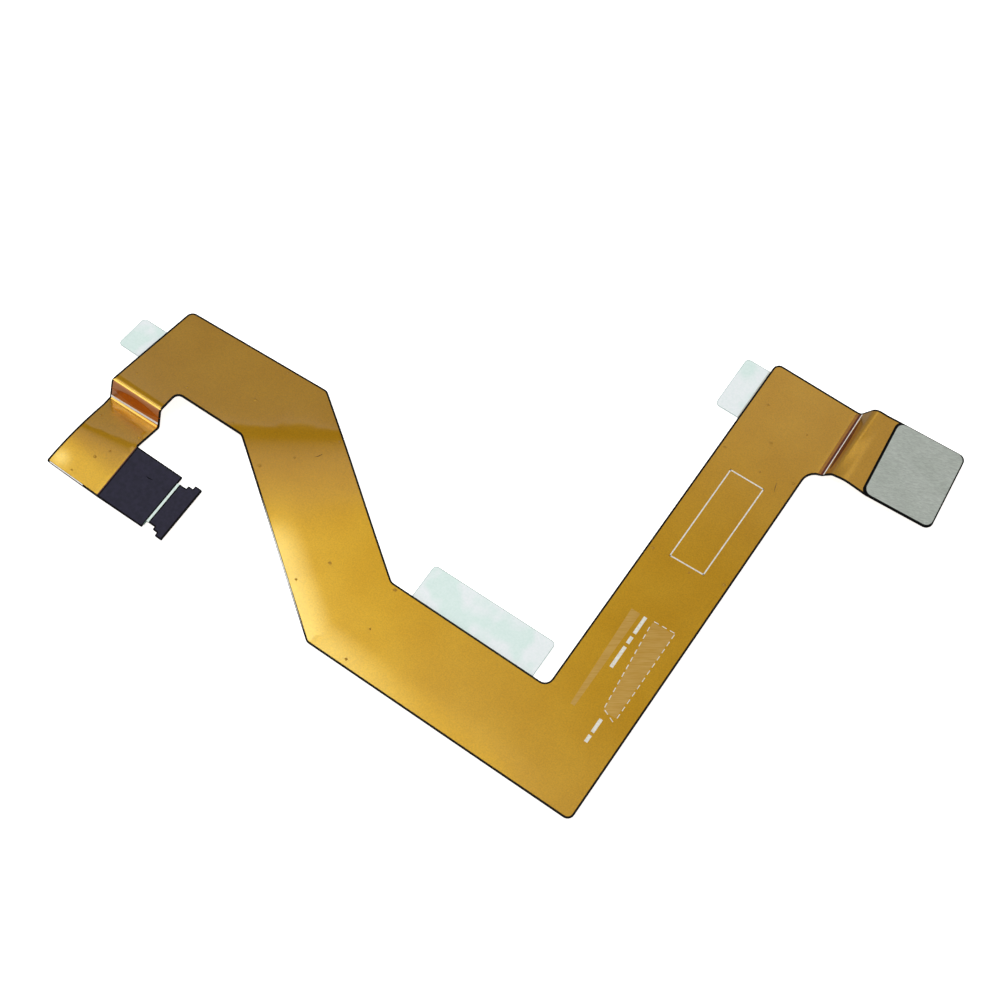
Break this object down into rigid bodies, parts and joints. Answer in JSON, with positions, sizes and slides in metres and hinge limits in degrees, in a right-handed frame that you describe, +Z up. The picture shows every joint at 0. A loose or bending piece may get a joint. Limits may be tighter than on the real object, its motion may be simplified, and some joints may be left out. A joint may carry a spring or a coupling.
{
  "type": "flexible printed circuit cable",
  "caption": "Flat amber flexible circuit cable with bent arms, an eared contact tip on a stepped tail, a steel-backed board connector and peel-off adhesive pads.",
  "frame": {"origin": "middle of the bounding box, on the table that the cable lies on", "axes": "+Z up from the table; +X along the cross arm, from the tail towards the connector plate; +Y along the long arm, towards its plate end"},
  "size_m": [0.1158, 0.078, 0.004],
  "materials": {
    "amber_laminate": "glossy amber film over copper",
    "black_film": "satin black film",
    "pale_ink": "pale printed line",
    "tip_laminate": "satin black laminate",
    "gold_plate": "gold-plated copper",
    "bond_film": "black bonding film",
    "steel_sheet": "fine brushed stainless steel",
    "connector_resin": "black moulded resin",
    "tin_plate": "tin-plated brass",
    "pad_tape": "double-sided adhesive tape",
    "release_liner": "pale release film"
  },
  "bodies": {
    "root": {"flex_circuit": "amber_laminate", "tail_film": "black_film", "insertion_line": "pale_ink", "tip_board": "tip_laminate", "contact_fingers": "gold_plate", "plate_bond": "bond_film", "stiffener_plate": "steel_sheet", "connector_shell": "connector_resin", "connector_pins": "gold_plate", "connector_nails": "tin_plate", "head_tape": "pad_tape", "cross_tape": "pad_tape", "arm_tape": "pad_tape", "head_liner": "release_liner", "cross_liner": "release_liner", "arm_liner": "release_liner"}
  },
  "joints": []
}
